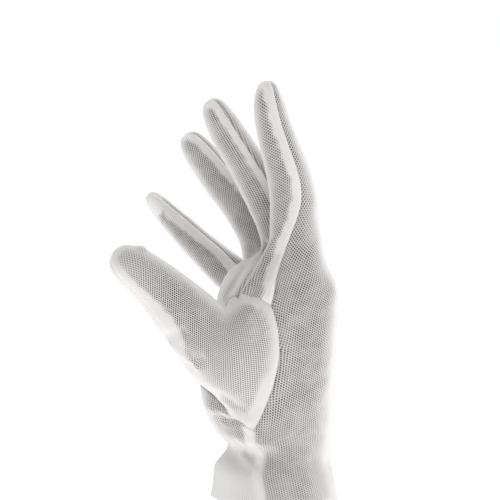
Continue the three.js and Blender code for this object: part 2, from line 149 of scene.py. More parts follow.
# %% Cage helpers
class Cage:
    def __init__(self):
        self.points, self.faces = [], []

    def add(self, point):
        self.points.append(np.array(point, float))
        return len(self.points) - 1

    def face(self, corners, piece):
        self.faces.append((list(corners), piece))


def turned(degrees):
    return math.sin(math.radians(degrees)), math.cos(math.radians(degrees))


def tube_point(shares):
    return np.array([shares[0] * PALM_DEPTH, shares[1] * PALM_WIDTH / 2, shares[2] * KNUCKLE_HEIGHT])


def fullness(count):
    """How much larger a ring of cage points is than the round that it makes."""
    return 6 / (4 + 2 * turned(360 / count)[1])


def palm_or_back(count):
    return lambda i: "palm_panel" if i < count / 2 else "back_panel"


def join_rings(cage, low, high, piece_of):
    for i in range(len(low)):
        piece, j = piece_of(i), (i + 1) % len(low)
        if piece:
            cage.face((low[i], high[i], high[j], low[j]), piece)

# %% The main tube, section by section
def oval(angle, front, back, wide):
    s, c = turned(angle)
    r = (abs(s) ** FLATNESS + abs(c) ** FLATNESS) ** (-1 / FLATNESS)
    return -r * s * (front if s > 0 else back), -r * c * wide


def tube_section(cage, section, row):
    wide, middle = section["wide"] * PALM_WIDTH, section["out"] * PALM_DEPTH
    front, back = section["front"] * PALM_DEPTH, section["back"] * PALM_DEPTH
    ring = []
    for i in range(RING):
        on_front = i <= FRONT
        base = COLUMN_ANGLES[i if on_front else RING - i]
        turn = section["turn_front" if on_front else "turn_back"] * (1 - base / 180)
        x, y = oval((base if on_front else -base) + turn, front, back, wide)
        z = (section["low"] + (section["high"] - section["low"]) * base / 180) * KNUCKLE_HEIGHT
        depth = 1 + (section["edge"] - 1) * max(0, y / wide)
        ring.append(cage.add((middle + x * depth, y, z - section["dip"] * x / back)))
    edge = [(column, place) for at, column, place in HOLE_EDGE if at == row]
    for column, place in edge:
        cage.points[ring[column]] = tube_point(place)
    for column, place in edge:
        if column == HOLE_COLUMNS:
            for i in range(HOLE_COLUMNS + 1, FRONT + 1):
                share = (i - HOLE_COLUMNS) / (FRONT - HOLE_COLUMNS)
                cage.points[ring[i]][2] = (place[2] * (1 - share) + section["high"] * share) * KNUCKLE_HEIGHT
    return ring

# %% The fingers' tubes
def finger_path(finger):
    at = tube_point((finger["out"], finger["across"], finger["rise"]))
    path, last = [], 0
    for k, (along, thick, broad) in enumerate(FINGER_RINGS):
        before, after = finger["lean"][max(0, k - 1)], finger["lean"][min(k, len(finger["lean"]) - 1)]
        s, c = turned(before)
        at = at + np.array([-s, turned(finger["splay"])[0], c]) * (along - last) * finger["length"]
        width = finger["width"] * PALM_WIDTH * (1 + (finger["point"] - 1) * along ** 2)
        grown = min(along / ROOT_SHARE, 1)
        lean = after / 2 if k == 0 else (before + after) / 2
        path.append(dict(at=at, lean=lean, thick=thick * width, broad=broad * width,
                         twist=finger["twist"] * grown, draw=finger["draw"] * (1 - grown)))
        last = along
    return path


def ring_point(station, angle):
    from_seam = min(angle, 360 - angle) / 180
    s, c = turned(angle + station["twist"] + station["draw"] * (1 - from_seam))
    full = fullness(len(FINGER_ANGLES))
    to_palm = s * station["thick"] * full
    lean_s, lean_c = turned(station["lean"])
    return station["at"] + np.array([-lean_c * to_palm, -c * station["broad"] * full, -lean_s * to_palm])


def root_row(cage, paths):
    """Where the main tube splits: neighbouring fingers share three points."""
    rings = [[ring_point(path[0], angle) for angle in FINGER_ANGLES] for path in paths]
    roots = []
    for f, ring in enumerate(rings):
        out = [None] * len(FINGER_ANGLES)
        for mine, theirs in ((0, 4), (1, 3), (7, 5)):
            out[mine] = roots[f - 1][theirs] if f else cage.add(ring[mine])
        out[2], out[6] = cage.add(ring[2]), cage.add(ring[6])
        for mine, theirs in ((3, 1), (4, 0), (5, 7)):
            shared = ring[mine] if f == len(rings) - 1 else (ring[mine] + rings[f + 1][theirs]) / 2
            out[mine] = cage.add(shared)
        roots.append(out)
    return roots


def add_finger(cage, path, root):
    rings = [root]
    for station in path[1:]:
        rings.append([cage.add(ring_point(station, angle)) for angle in FINGER_ANGLES])
        join_rings(cage, rings[-2], rings[-1], palm_or_back(len(FINGER_ANGLES)))
    s, c = turned(path[-1]["lean"])
    tip = cage.add(path[-1]["at"] + np.array([-s, 0, c]) * path[-1]["thick"] * TIP_REACH)
    a, b, d, e, f, g, h, i = rings[-1]
    for corners, piece in (((b, a, tip, d), "palm_panel"), ((e, d, tip, f), "palm_panel"),
                           ((g, f, tip, h), "back_panel"), ((i, h, tip, a), "back_panel")):
        cage.face(corners, piece)
    return rings, tip

# %% The thumb's tube
def leaning(lean, sideways):
    direction = Vector((-turned(lean)[0], turned(sideways)[0], turned(lean)[1]))
    return direction.normalized()


def add_thumb(cage, hole):
    count, at, last = len(hole), Vector(tube_point(THUMB_ROOT)), 0
    rings = [hole]
    for along, lean, facing, half in THUMB_RINGS:
        at = at + leaning(lean, THUMB_SIDEWAYS) * (along - last) * THUMB_LENGTH
        forward = leaning(facing, THUMB_SIDEWAYS)
        near = (Vector((0, -1, 0)) + forward * forward.y).normalized()
        up = forward.cross(near).normalized()
        r = half * THUMB_WIDTH * fullness(count)
        turn = THUMB_TWIST * min(1, along / TWIST_SHARE)
        angles = [math.radians(360 / count * (i + 1) + turn) for i in range(count)]
        rings.append([cage.add(at - up * math.cos(a) * r + near * math.sin(a) * r) for a in angles])
        join_rings(cage, rings[-1], rings[-2], lambda i: "thumb_piece")
        last = along
    ring, inner = rings[-1], []
    bulge = forward * TIP_BULGE * THUMB_WIDTH
    for i in range(0, count, 3):
        inner.append(cage.add(Vector(cage.points[ring[i]]).lerp(at, TIP_INNER) + bulge))
    for k in range(4):
        before, corner, after, beyond = (ring[(3 * k + step) % count] for step in (-1, 0, 1, 2))
        cage.face((before, corner, after, inner[k]), "thumb_piece")
        cage.face((inner[k], after, beyond, inner[(k + 1) % 4]), "thumb_piece")
    cage.face(inner, "thumb_piece")
    return rings, inner

# %% Put the cage together
cage = Cage()
tube_rows = [tube_section(cage, section, row) for row, section in enumerate(TUBE_SECTIONS)]
for row, column, place in WEB + HEEL:
    cage.points[tube_rows[row][column]] = tube_point(place)
finger_paths = [finger_path(finger) for finger in FINGERS]
roots = root_row(cage, finger_paths)
top = [roots[0][0]] + [i for r in roots for i in r[1:3]] + roots[3][3:6]
top += [roots[f][i] for f in (3, 2, 1, 0) for i in (6, 7)]
tube_rows.append(top)


def tube_piece(row):
    def piece_of(i):
        in_hole = HOLE_ROWS[0] <= row < HOLE_ROWS[1] and i < HOLE_COLUMNS
        return None if in_hole else palm_or_back(RING)(i)
    return piece_of


for row in range(len(tube_rows) - 1):
    join_rings(cage, tube_rows[row], tube_rows[row + 1], tube_piece(row))
fingers = [add_finger(cage, path, root) for path, root in zip(finger_paths, roots)]
thumb_rings, thumb_cap = add_thumb(cage, [tube_rows[row][column] for row, column, _ in HOLE_EDGE])
# The thumb piece is folded once. Its closing seam runs up from the hole and over the tip to the fold's end.
CLOSING_SEAM = [ring[CLOSING_COLUMN] for ring in thumb_rings]
CLOSING_SEAM += thumb_cap[:0:-1] + [thumb_rings[-1][FOLD_COLUMN]]
print("cage:", len(cage.points), "points,", len(cage.faces), "faces")

# %% [markdown]
# ## Rounding the cage
# A Subdivision Surface rounds the cage. It also carries the material number of each face, the flat places
# of the knit, and the mark on every sewn edge on to the fine mesh. So the seams are marked on the cage,
# where they are easy to name: an edge is sewn where two pieces meet, and along the thumb's closing seam.

# %% Turn the cage into a mesh with its sewn edges marked
PIECES = ["palm_panel", "back_panel", "thumb_piece"]


def cage_object(points, faces, flat=None):
    """The cage as an object: its faces, their pieces, their sewn edges and their places in the flat cloth."""
    used = sorted({i for corners, _ in faces for i in corners})
    number = {old: new for new, old in enumerate(used)}
    mesh = bpy.data.meshes.new("glove_cage")
    mesh.from_pydata([Vector(points[i]) * MM for i in used], [], [[number[i] for i in c] for c, _ in faces])
    mesh.polygons.foreach_set("material_index", [PIECES.index(piece) for _, piece in faces])
    closing = {number.get(i) for i in CLOSING_SEAM}
    sides = {}
    for polygon in mesh.polygons:
        for key in polygon.edge_keys:
            sides.setdefault(key, set()).add(polygon.material_index)
    for edge in mesh.edges:
        both = sides[edge.key]
        edge.use_seam = len(both) == 2 or (both == {2} and set(edge.key) <= closing)
    layer = mesh.uv_layers.new(name="cloth")
    if flat is not None:
        layer.data.foreach_set("uv", np.array(flat, np.float32).ravel())
    obj = bpy.data.objects.new("glove_cage", mesh)
    bpy.context.scene.collection.objects.link(obj)
    return obj, used


def rounded(obj, levels):
    modifier = obj.modifiers.new("rounding", "SUBSURF")
    modifier.levels = modifier.render_levels = levels
    mesh = bpy.data.meshes.new_from_object(obj.evaluated_get(bpy.context.evaluated_depsgraph_get()))
    bpy.data.objects.remove(obj)
    return mesh

# %% [markdown]
# ## The flat cloth
# Knit is laid flat when it is cut, and its columns of stitches, the wales, run up the tube and along each
# finger. A picture of the knit could be pressed on from one side, but it would smear on the fingers. Each
# piece was flat once, so it is unwrapped instead: its cage is flattened with as little stretch as possible,
# as in the cutter's pattern. The flat piece is then turned until its wales stand upright where the photo
# shows them upright.

# %% Measure the rounded cage
obj, used = cage_object(cage.points, cage.faces)
limit = rounded(obj, 1)
on_surface = np.array(cage.points)
for k, i in enumerate(used):
    on_surface[i] = np.array(limit.vertices[k].co) / MM


def corners_of(piece):
    """The place on the glove of each corner of a piece's cage faces."""
    return np.array([on_surface[i] for c, p in cage.faces if p == piece for i in c])


def area_of(corners):
    """The area of four-sided faces, flat or in space, whose corners are listed one after another."""
    a, b, c, d = (corners[k::4] for k in range(4))
    crossed = np.cross(c - a, d - b)
    return (np.abs(crossed) if crossed.ndim == 1 else np.linalg.norm(crossed, axis=1)).sum() / 2


# %% Unwrap a piece
FACING = 0.5


def unwrapped(piece, across, below):
    """The flat place of each face corner in millimetres. Wales are turned upright where the cloth faces the
    way that it is seen from and lies below a height."""
    faces = [f for f in cage.faces if f[1] == piece]
    obj, _ = cage_object(on_surface, faces)
    bpy.context.view_layer.objects.active = obj
    obj.select_set(True)
    bpy.ops.object.mode_set(mode="EDIT")
    bpy.ops.mesh.select_all(action="SELECT")
    bpy.ops.uv.unwrap(method="MINIMUM_STRETCH", margin=0, iterations=30)
    bpy.ops.object.mode_set(mode="OBJECT")
    places = np.array([tuple(corner.uv) for corner in obj.data.uv_layers["cloth"].data])
    corners = corners_of(piece)
    normals = np.repeat([tuple(p.normal) for p in obj.data.polygons], 4, axis=0)
    bpy.data.objects.remove(obj)
    facing = normals @ np.cross(across, (0, 0, 1)) > FACING
    chosen = facing & (corners[:, 2] < below)
    seen = np.stack([corners @ across, corners[:, 2]], axis=1)[chosen]
    part = places[chosen] - places[chosen].mean(axis=0)
    u, _, v = np.linalg.svd(part.T @ (seen - seen.mean(axis=0)))
    places = places @ (u @ v) * math.sqrt(area_of(corners) / area_of(places))
    print(piece, "is cut from", np.round(np.ptp(places, axis=0)), "mm")
    return places


# %% [markdown]
# The wales don't stand straight on the worn glove. The thumb pulls the back's cloth aside, so they lean
# over a part of the way up. And the cloth is stretched over the palm and the back but hardly over the long
# fingers, where the photo shows smaller stitches. Both are done to the flat places, because a real cloth is
# only pulled, never redrawn.

# %% Lean the wales and make the fingers' stitches finer
WALE_HEIGHTS, WALE_SLOPES = [0, 50, 75, 95, 118, 140], [-0.10, -0.10, 0.05, 0.45, 0.45, 0]
GLOVE_HEIGHTS = np.arange(250)
FINER, FINER_ABOVE, FINER_BEYOND, NEAR_KNUCKLES = 1.2, (100, 128), (-24, -13), 8


def leaned(places, piece):
    slopes = np.interp(GLOVE_HEIGHTS, WALE_HEIGHTS, WALE_SLOPES)
    places[:, 0] -= np.interp(corners_of(piece)[:, 2], GLOVE_HEIGHTS, np.cumsum(slopes))
    return places


def gauged(places, piece):
    y, z = corners_of(piece)[:, 1:].T
    finer = 1 + (FINER - 1) * np.interp(z, FINER_ABOVE, (0, 1)) * np.interp(y, FINER_BEYOND, (0, 1))
    knuckles = places[np.abs(z - FINER_ABOVE[0]) < NEAR_KNUCKLES].mean(axis=0)
    return knuckles + (places - knuckles) * finer[:, None]

# %% Lay the three pieces flat and measure them
FROM_CAMERA, FROM_PALM = np.array(right_way), np.array((0.0, -1.0, 0.0))
flat = {"palm_panel": unwrapped("palm_panel", FROM_PALM, 60),
        "back_panel": leaned(unwrapped("back_panel", FROM_CAMERA, 50), "back_panel"),
        "thumb_piece": unwrapped("thumb_piece", FROM_CAMERA, 200)}
flat_size, flat_area = {}, {}
for piece, places in flat.items():
    flat_size[piece] = tuple(float(side) * MM for side in np.ptp(places, axis=0))
    flat_area[piece] = float(area_of(places)) * MM ** 2
    print(piece, "covers", round(area_of(places) / 100), "square centimetres")
for piece in ("palm_panel", "back_panel"):
    flat[piece] = gauged(flat[piece], piece)
corner_places, taken = [], dict.fromkeys(flat, 0)
for corners, piece in cage.faces:
    corner_places += list(flat[piece][taken[piece]:taken[piece] + 4])
    taken[piece] += 4

# %% Round the cage finely
ROUNDING = 3
obj, _ = cage_object(cage.points, cage.faces, corner_places)
shell = rounded(obj, ROUNDING)
count = len(shell.vertices)
co = np.empty(count * 3)
shell.vertices.foreach_get("co", co)
co = co.reshape(-1, 3) / MM
print("shell:", count, "points,", len(shell.polygons), "faces")

# %% [markdown]
# ## Where the seams run
# The two cloths of a seam are sewn inside out, so their cut edges lie inside and are pressed to one side.
# That strip of doubled cloth hides the holes of the knit, which is why a plain pale band follows each seam.
# The distance from the nearest seam is measured at every point and kept with the mesh, so that shape and
# material can both use it.

# %% Distances from the seams
def seam_points(kinds):
    sides = {}
    for polygon in shell.polygons:
        for key in polygon.edge_keys:
            sides.setdefault(key, set()).add(polygon.material_index)
    found = set()
    for edge in shell.edges:
        if edge.use_seam and frozenset(sides[edge.key]) in kinds:
            found.update(edge.vertices)
    return sorted(found)


# %% Spread a distance over the cloth
SPREAD = 16.0
neighbours = [[] for _ in range(count)]
for edge in shell.edges:
    a, b = edge.vertices
    neighbours[a].append(b)
    neighbours[b].append(a)


def distance_from(points):
    """Distance from the nearest of these points. It spreads from neighbour to neighbour, so that it never
    jumps over the gap between two fingers."""
    place, nearest = [Vector(p) for p in co], [SPREAD] * count
    waiting = [(0.0, i, i) for i in points]
    while waiting:
        distance, i, source = heapq.heappop(waiting)
        if distance >= nearest[i]:
            continue
        nearest[i] = distance
        for j in neighbours[i]:
            onward = (place[j] - place[source]).length
            if onward < nearest[j]:
                heapq.heappush(waiting, (onward, j, source))
    return np.array(nearest)


PALM_BACK, CLOSING = {frozenset((0, 1))}, {frozenset((2,))}
THUMB_EDGES = {frozenset((0, 2)), frozenset((1, 2))}
from_sides = distance_from(seam_points(PALM_BACK))
from_thumb_seam = distance_from(seam_points(THUMB_EDGES))
from_closing = distance_from(seam_points(CLOSING))
from_any = np.minimum(np.minimum(from_sides, from_thumb_seam), from_closing)
print("points on a seam:", int((from_any < 0.01).sum()))

# %% [markdown]
# ## Folds
# Worn cloth wrinkles where it is pushed together: from the thumb's crotch to the fingers' roots, over the
# palm's heel, and round the wrist. A simulation makes folds of its own, but these have to be the ones in
# the photo. So each fold is a line drawn over the view, and the camera's own rays carry it on to the cloth.
# There it sinks or lifts the cloth near it, along the surface's own direction.

# %% The table of folds
VIEW_CENTRE, VIEW_STEP = 250, 0.45
FOLD_COLUMNS = ["at", "depth", "reach", "line"]
FOLDS = [dict(zip(FOLD_COLUMNS, row)) for row in [
    ("far palm hollow", 1.0, 2.2, [(226, 298), (241, 272), (254, 250)]),
    ("palm valley", 2.0, 1.5, [(236, 297), (240, 290), (250, 274), (258, 260), (266, 245)]),
    ("palm ridge", -1.8, 2.0, [(244, 295), (248, 288), (256, 274), (265, 258), (273, 243)]),
    ("near palm valley", 1.0, 1.5, [(253, 293), (264, 277), (276, 254)]),
    ("heel hollow", 1.3, 2.6, [(203, 392), (220, 396), (236, 406), (243, 413)]),
    ("heel ridge", -1.5, 1.8, [(208, 407), (225, 411), (244, 419)]),
    ("heel crease", 1.4, 1.2, [(217, 417), (230, 421), (243, 423)]),
    ("wrist hollow", 0.8, 2.6, [(222, 429), (234, 432), (244, 434)]),
    ("wrist ridge", -1.0, 1.6, [(228, 441), (238, 450), (250, 464)]),
    ("wrist valley", 0.7, 1.4, [(235, 441), (245, 451), (257, 466)]),
    ("back of the wrist", 1.6, 6.0, [(317, 461), (325, 462), (330, 463)]),
    ("thumb's first wrinkle", 1.3, 1.8, [(164, 338), (183, 332)]),
    ("thumb's second wrinkle", -1.2, 1.9, [(173, 345), (183, 353), (196, 366)]),
    ("thumb's third wrinkle", 1.4, 1.8, [(184, 369), (202, 359)]),
    ("thumb tip's corner", -1.3, 2.5, [(139, 247), (142, 249)]),
    ("knuckle slack", -1.2, 6.5, [(328, 262), (333, 276), (334, 290)])]]


# %% Carry the folds on to the cloth
def normals_of(points):
    """Put the shell's points here and measure which way its surface faces."""
    shell.vertices.foreach_set("co", (points * MM).ravel())
    shell.update()
    normals = np.empty(count * 3)
    shell.vertex_normals.foreach_get("vector", normals)
    return normals.reshape(-1, 3)


def on_cloth(tree, line):
    """The places on the cloth that the camera sees behind a line of the view."""
    hits = []
    for (x0, y0), (x1, y1) in zip(line, line[1:]):
        steps = max(2, int(math.hypot(x1 - x0, y1 - y0)))
        for share in np.linspace(0, 1, steps):
            x, y = x0 + (x1 - x0) * share - VIEW_CENTRE, VIEW_CENTRE - y0 - (y1 - y0) * share
            behind = aim + (right_way * x + Vector((0, 0, y))) * VIEW_STEP * MM
            hit = tree.ray_cast(camera.location / MM, behind - camera.location)[0]
            if hit:
                hits.append(hit)
    return np.array(hits)


def fold(points, folds):
    """A depth above nothing sinks the cloth along the line, one below it lifts the cloth."""
    normals = normals_of(points)
    tree = BVHTree.FromPolygons([Vector(p) for p in points], [tuple(f.vertices) for f in shell.polygons])
    for f in folds:
        line = on_cloth(tree, f["line"])
        near = np.min([np.linalg.norm(points - place, axis=1) for place in line], axis=0) / f["reach"]
        points = points - normals * (f["depth"] * np.exp(-near ** 2))[:, None]
    return points


co = fold(co, FOLDS)
print(len(FOLDS), "folds")

# %% [markdown]
# ## Seams and slack in the cloth
# A seam pulls its thread tight, so the cloth dips at the stitches and stands a little proud of the doubled
# edges inside. The rest of the cloth is never quite smooth: a slow noise, the same on each run, gives it
# slack.

# %% How wide the doubled cloth is
TUBE_BAND = 4.2
FINGER_BANDS = [(3.8, 5.5), (2.6, 4.6), (3.8, 3.6), (4.4, 7.0)]  # along the finger, and at its tip
ABOVE_ROOTS, TIP_WIDENING = (100, 115), 7
CLOSING_BANDS = (20, 42), (3.5, 8.0)  # distances from the thumb's end, and the widths there
THUMB_BANDS = (35, 75), (7.0, 4.0)  # heights above the hem, and the widths there
PLAIN_TIP, PLAIN_LITTLE_TIP, PLAIN_LITTLE_BACK = 2.5, 11, 6
UNEVEN_SIZE, BAND_EDGE, HEM_TOP = 3, 1.5, 4.6

tips = np.array([on_surface[tip] for _, tip in fingers])
near_tip = np.min(np.linalg.norm(co[:, None] - tips[None], axis=2), axis=1)
little_tip = np.linalg.norm(co - tips[3], axis=1)
thumb_end = np.linalg.norm(co - on_surface[thumb_cap].mean(axis=0), axis=1)
stations = [np.array([station["at"] for station in path]) for path in finger_paths]
from_axis = np.array([np.min(np.linalg.norm(co[:, None] - at[None], axis=2), axis=1) for at in stations])
along, at_tip = np.array(FINGER_BANDS)[from_axis.argmin(axis=0)].T
up_finger = np.interp(co[:, 2], ABOVE_ROOTS, (0, 1))
side_band = TUBE_BAND + (along - TUBE_BAND) * up_finger
side_band += (at_tip - along) * np.exp(-(near_tip / TIP_WIDENING) ** 2)
closing_band = np.interp(thumb_end, *CLOSING_BANDS)
thumb_band = np.interp(co[:, 2], *THUMB_BANDS)
uneven = np.array([noise.noise(Vector(p) / UNEVEN_SIZE) for p in co])
cover = [uneven + np.maximum.reduce(kinds) for kinds in (
    (side_band - from_sides, PLAIN_TIP - near_tip, PLAIN_LITTLE_TIP - little_tip),
    (PLAIN_TIP - near_tip, PLAIN_LITTLE_BACK - little_tip),
    (thumb_band - from_thumb_seam, closing_band - from_closing))]
print("bands beside the seams up to", round(float(side_band.max()), 1), "mm wide")

# %% Sink the seams, raise the doubled cloth
SEAM_DIP, SEAM_DIP_REACH, HEM_DIP, HEM_DIP_REACH = 0.22, 0.9, 0.12, 0.7
DOUBLED_RISE = 0.06
SLACK = [(0.30, 11, (0, 0, 0)), (0.10, 5, (9, 3, 5))]  # height, size and place of each wave of noise
normals = normals_of(co)
doubled = np.clip(np.maximum.reduce(cover) / BAND_EDGE, 0, 1)
dip = SEAM_DIP * np.exp(-(from_any / SEAM_DIP_REACH) ** 2)
dip += HEM_DIP * np.exp(-((co[:, 2] - HEM_TOP) / HEM_DIP_REACH) ** 2)
slack = np.array([sum(height * noise.noise(Vector(p) / size + Vector(shift)) for height, size, shift in SLACK)
                  for p in co])
co = co + normals * (DOUBLED_RISE * doubled - dip + slack)[:, None]
normals_of(co)
print("slack from", round(slack.min(), 2), "to", round(slack.max(), 2), "mm")

# %% [markdown]
# ## One material for all the knit
# Close up, jersey is columns of small loops with a hole beside each one. From a step away only the holes
# show, as rows of grey dots about a millimetre apart. Doubled cloth has none. The pattern is built as a
# node group that reads the flat cloth, so it bends with every finger, and the thumb can use it with other
# distances.

# %% Node helpers
def add_nodes(tree, *kinds):
    return [tree.nodes.new(kind) for kind in kinds]


def math_node(tree, operation, a, b=None, clamp=False):
    node = tree.nodes.new("ShaderNodeMath")
    node.operation, node.use_clamp = operation, clamp
    for socket, value in zip(node.inputs, (a, b)):
        if value is None:
            continue
        if isinstance(value, (int, float)):
            socket.default_value = value
        else:
            tree.links.new(value, socket)
    return node.outputs[0]


# %% The knit, as a group
HOLE_EDGES = (0.46 ** 2, 0.22 ** 2)  # where a hole begins to show and where it is fully dark, squared
HOLE_SKEW = 0.2


def knit_group():
    tree = bpy.data.node_groups.new("knit_loops", "ShaderNodeTree")
    for name, kind in (("Flat", "NodeSocketVector"), ("Wale", "NodeSocketFloat"),
                       ("Course", "NodeSocketFloat"), ("Stagger", "NodeSocketFloat")):
        tree.interface.new_socket(name=name, in_out="INPUT", socket_type=kind)
    for name in ("Hole", "Height"):
        tree.interface.new_socket(name=name, in_out="OUTPUT", socket_type="NodeSocketFloat")
    start, end, parts = add_nodes(tree, "NodeGroupInput", "NodeGroupOutput", "ShaderNodeSeparateXYZ")
    tree.links.new(start.outputs["Flat"], parts.inputs[0])
    across = math_node(tree, "DIVIDE", parts.outputs["X"], start.outputs["Wale"])
    step = math_node(tree, "MULTIPLY", math_node(tree, "FLOOR", across), start.outputs["Stagger"])
    courses = math_node(tree, "DIVIDE", parts.outputs["Y"], start.outputs["Course"])
    along = math_node(tree, "ADD", courses, step)
    in_wale = math_node(tree, "SUBTRACT", math_node(tree, "FRACT", across), 0.5)
    in_course = math_node(tree, "SUBTRACT", math_node(tree, "FRACT", along), 0.5)
    # The hole is a soft round in the middle of each cell
    skewed = math_node(tree, "ADD", in_course, math_node(tree, "MULTIPLY", in_wale, HOLE_SKEW))
    square = math_node(tree, "ADD", math_node(tree, "MULTIPLY", in_wale, in_wale),
                       math_node(tree, "MULTIPLY", skewed, skewed))
    hole = tree.nodes.new("ShaderNodeMapRange")
    hole.interpolation_type = "SMOOTHSTEP"
    hole.inputs["From Min"].default_value, hole.inputs["From Max"].default_value = HOLE_EDGES
    tree.links.new(square, hole.inputs["Value"])
    # The loop's two legs lean towards each other, so a course is a row of V shapes
    slanted = math_node(tree, "ADD", along, math_node(tree, "ABSOLUTE", in_wale))
    leg = math_node(tree, "PINGPONG", slanted, 0.5)
    height = math_node(tree, "SUBTRACT", leg, hole.outputs["Result"])
    tree.links.new(hole.outputs["Result"], end.inputs["Hole"])
    tree.links.new(height, end.inputs["Height"])
    return tree


KNIT = knit_group()
print("group", KNIT.name, "with", len(KNIT.nodes), "nodes")

# %% [markdown]
# White cotton photographs as light greys. Single cloth is thin, so the glove's shaded inside shows through
# it:
# it is painted darker than doubled cloth, partly as painted shade, and its holes are painted nearly black, as
# painted shade of the empty inside seen through them. Fine fibres stand off the surface and make its edges
# pale where it turns away from the eye, so a diffuse layer is mixed in there. The thumb's cloth is stretched
# less, and its holes show more.

# %% The tones of the cotton
# The holes' nearly black colour is painted shade of the glove's inside seen through them.
HOLE_SHADE, FUZZ = (0.03, 0.025, 0.02, 1), (0.69, 0.685, 0.677, 1)
FUZZ_EDGES = (0.08, 0.75)
# single is the single cloth's tone, darker than doubled partly as painted shade from the glove's inside.
PANEL_LOOK = dict(wale=1.05, course=0.97, doubled=(0.74, 0.73, 0.717, 1), single=(0.55, 0.534, 0.517, 1),
                  openness=1.6)
THUMB_LOOK = dict(wale=0.94, course=0.92, doubled=(0.62, 0.611, 0.600, 1), single=(0.61, 0.593, 0.575, 1),
                  openness=2.1)
STAGGER = 0.5
PATCH_SCALE, PATCH_DETAIL, PATCH_ROUGHNESS = 0.12, 5.0, 0.65
RIBS, RIB_HEIGHT = 5.0, 0.18
LOOPS_SINGLE, LOOPS_DOUBLED = 0.92, 0.08
BUMP_DISTANCE, BUMP_STRENGTH = 0.0002, 0.35

# %% The colour of the cloth and its holes
def mixed(tree, factor, a, b):
    node = tree.nodes.new("ShaderNodeMix")
    node.data_type = "RGBA"
    tree.links.new(factor, node.inputs["Factor"])
    node.inputs["B"].default_value = b
    if isinstance(a, tuple):
        node.inputs["A"].default_value = a
    else:
        tree.links.new(a, node.inputs["A"])
    return node.outputs["Result"]


def knit_colour(tree, flat_place, hole, single, look):
    """The holes are painted dark, as painted shade of the glove's inside, only where the cloth is single,
    and more in some patches than in others.
    """
    patches = tree.nodes.new("ShaderNodeTexNoise")
    tree.links.new(flat_place, patches.inputs["Vector"])
    patches.inputs["Scale"].default_value, patches.inputs["Detail"].default_value = PATCH_SCALE, PATCH_DETAIL
    patches.inputs["Roughness"].default_value = PATCH_ROUGHNESS
    wander = math_node(tree, "MULTIPLY", patches.outputs["Fac"], look["openness"], clamp=True)
    # the holes' painted shade: dark where the cloth is single and the patches open it
    hole_shade = math_node(tree, "MULTIPLY", math_node(tree, "MULTIPLY", hole, single), wander)
    return mixed(tree, hole_shade, mixed(tree, single, look["doubled"], look["single"]), HOLE_SHADE)

# %% The relief of the loops
def knit_relief(tree, height, single):
    """Over the doubled edges the stitching inside shows as faint ribs that follow the seam."""
    seam, bump = add_nodes(tree, "ShaderNodeAttribute", "ShaderNodeBump")
    seam.attribute_name = "from_seam"
    ribs = math_node(tree, "SINE", math_node(tree, "MULTIPLY", seam.outputs["Fac"], RIBS))
    doubled = math_node(tree, "SUBTRACT", 1.0, single)
    ribbed = math_node(tree, "MULTIPLY", math_node(tree, "MULTIPLY", ribs, doubled), RIB_HEIGHT)
    share = math_node(tree, "ADD", math_node(tree, "MULTIPLY", single, LOOPS_SINGLE), LOOPS_DOUBLED)
    loops = math_node(tree, "MULTIPLY", height, share)
    tree.links.new(math_node(tree, "ADD", loops, ribbed), bump.inputs["Height"])
    bump.inputs["Distance"].default_value = BUMP_DISTANCE
    bump.inputs["Strength"].default_value = BUMP_STRENGTH
    return bump.outputs["Normal"]

# %% The fuzz at its edges
def fuzzy_edges(tree, cloth_shader):
    fuzz, slope, edge, blend = add_nodes(tree, "ShaderNodeBsdfDiffuse", "ShaderNodeLayerWeight",
                                         "ShaderNodeMapRange", "ShaderNodeMixShader")
    fuzz.inputs["Color"].default_value = FUZZ
    slope.inputs["Blend"].default_value = 0.5
    edge.interpolation_type = "SMOOTHSTEP"
    edge.inputs["From Min"].default_value, edge.inputs["From Max"].default_value = FUZZ_EDGES
    tree.links.new(slope.outputs["Facing"], edge.inputs["Value"])
    tree.links.new(edge.outputs["Result"], blend.inputs["Fac"])
    tree.links.new(cloth_shader, blend.inputs[1])
    tree.links.new(fuzz.outputs["BSDF"], blend.inputs[2])
    return blend.outputs["Shader"]

# %% The cotton materials
def cotton_material(name, look):
    material = bpy.data.materials.new(name)
    material.use_nodes = True
    tree = material.node_tree
    flat_cloth, knit, single = add_nodes(tree, "ShaderNodeUVMap", "ShaderNodeGroup", "ShaderNodeAttribute")
    flat_cloth.uv_map, knit.node_tree, single.attribute_name = "cloth", KNIT, "single_cloth_and_shade"
    tree.links.new(flat_cloth.outputs["UV"], knit.inputs["Flat"])
    for socket, value in (("Wale", look["wale"]), ("Course", look["course"]), ("Stagger", STAGGER)):
        knit.inputs[socket].default_value = value
    colour = knit_colour(tree, flat_cloth.outputs["UV"], knit.outputs["Hole"], single.outputs["Fac"], look)
    relief = knit_relief(tree, knit.outputs["Height"], single.outputs["Fac"])
    bsdf = tree.nodes["Principled BSDF"]
    tree.links.new(colour, bsdf.inputs["Base Color"])
    tree.links.new(relief, bsdf.inputs["Normal"])
    for socket, value in (("Roughness", 0.95), ("Specular IOR Level", 0.15), ("Sheen Weight", 0.4),
                          ("Sheen Roughness", 0.5)):
        bsdf.inputs[socket].default_value = value
    tree.links.new(fuzzy_edges(tree, bsdf.outputs["BSDF"]), tree.nodes["Material Output"].inputs["Surface"])
    return material


panel_cotton = cotton_material("cotton_knit_panels", PANEL_LOOK)
thumb_cotton = cotton_material("cotton_knit_thumb", THUMB_LOOK)
print("materials:", panel_cotton.name, thumb_cotton.name)

# %% [markdown]
# ## Cutting the pieces
# The shell is cut along its sewn edges into the three pieces. Each gets the cloth's thickness with a
# Solidify, which grows inward, so the outside stays where it was shaped.

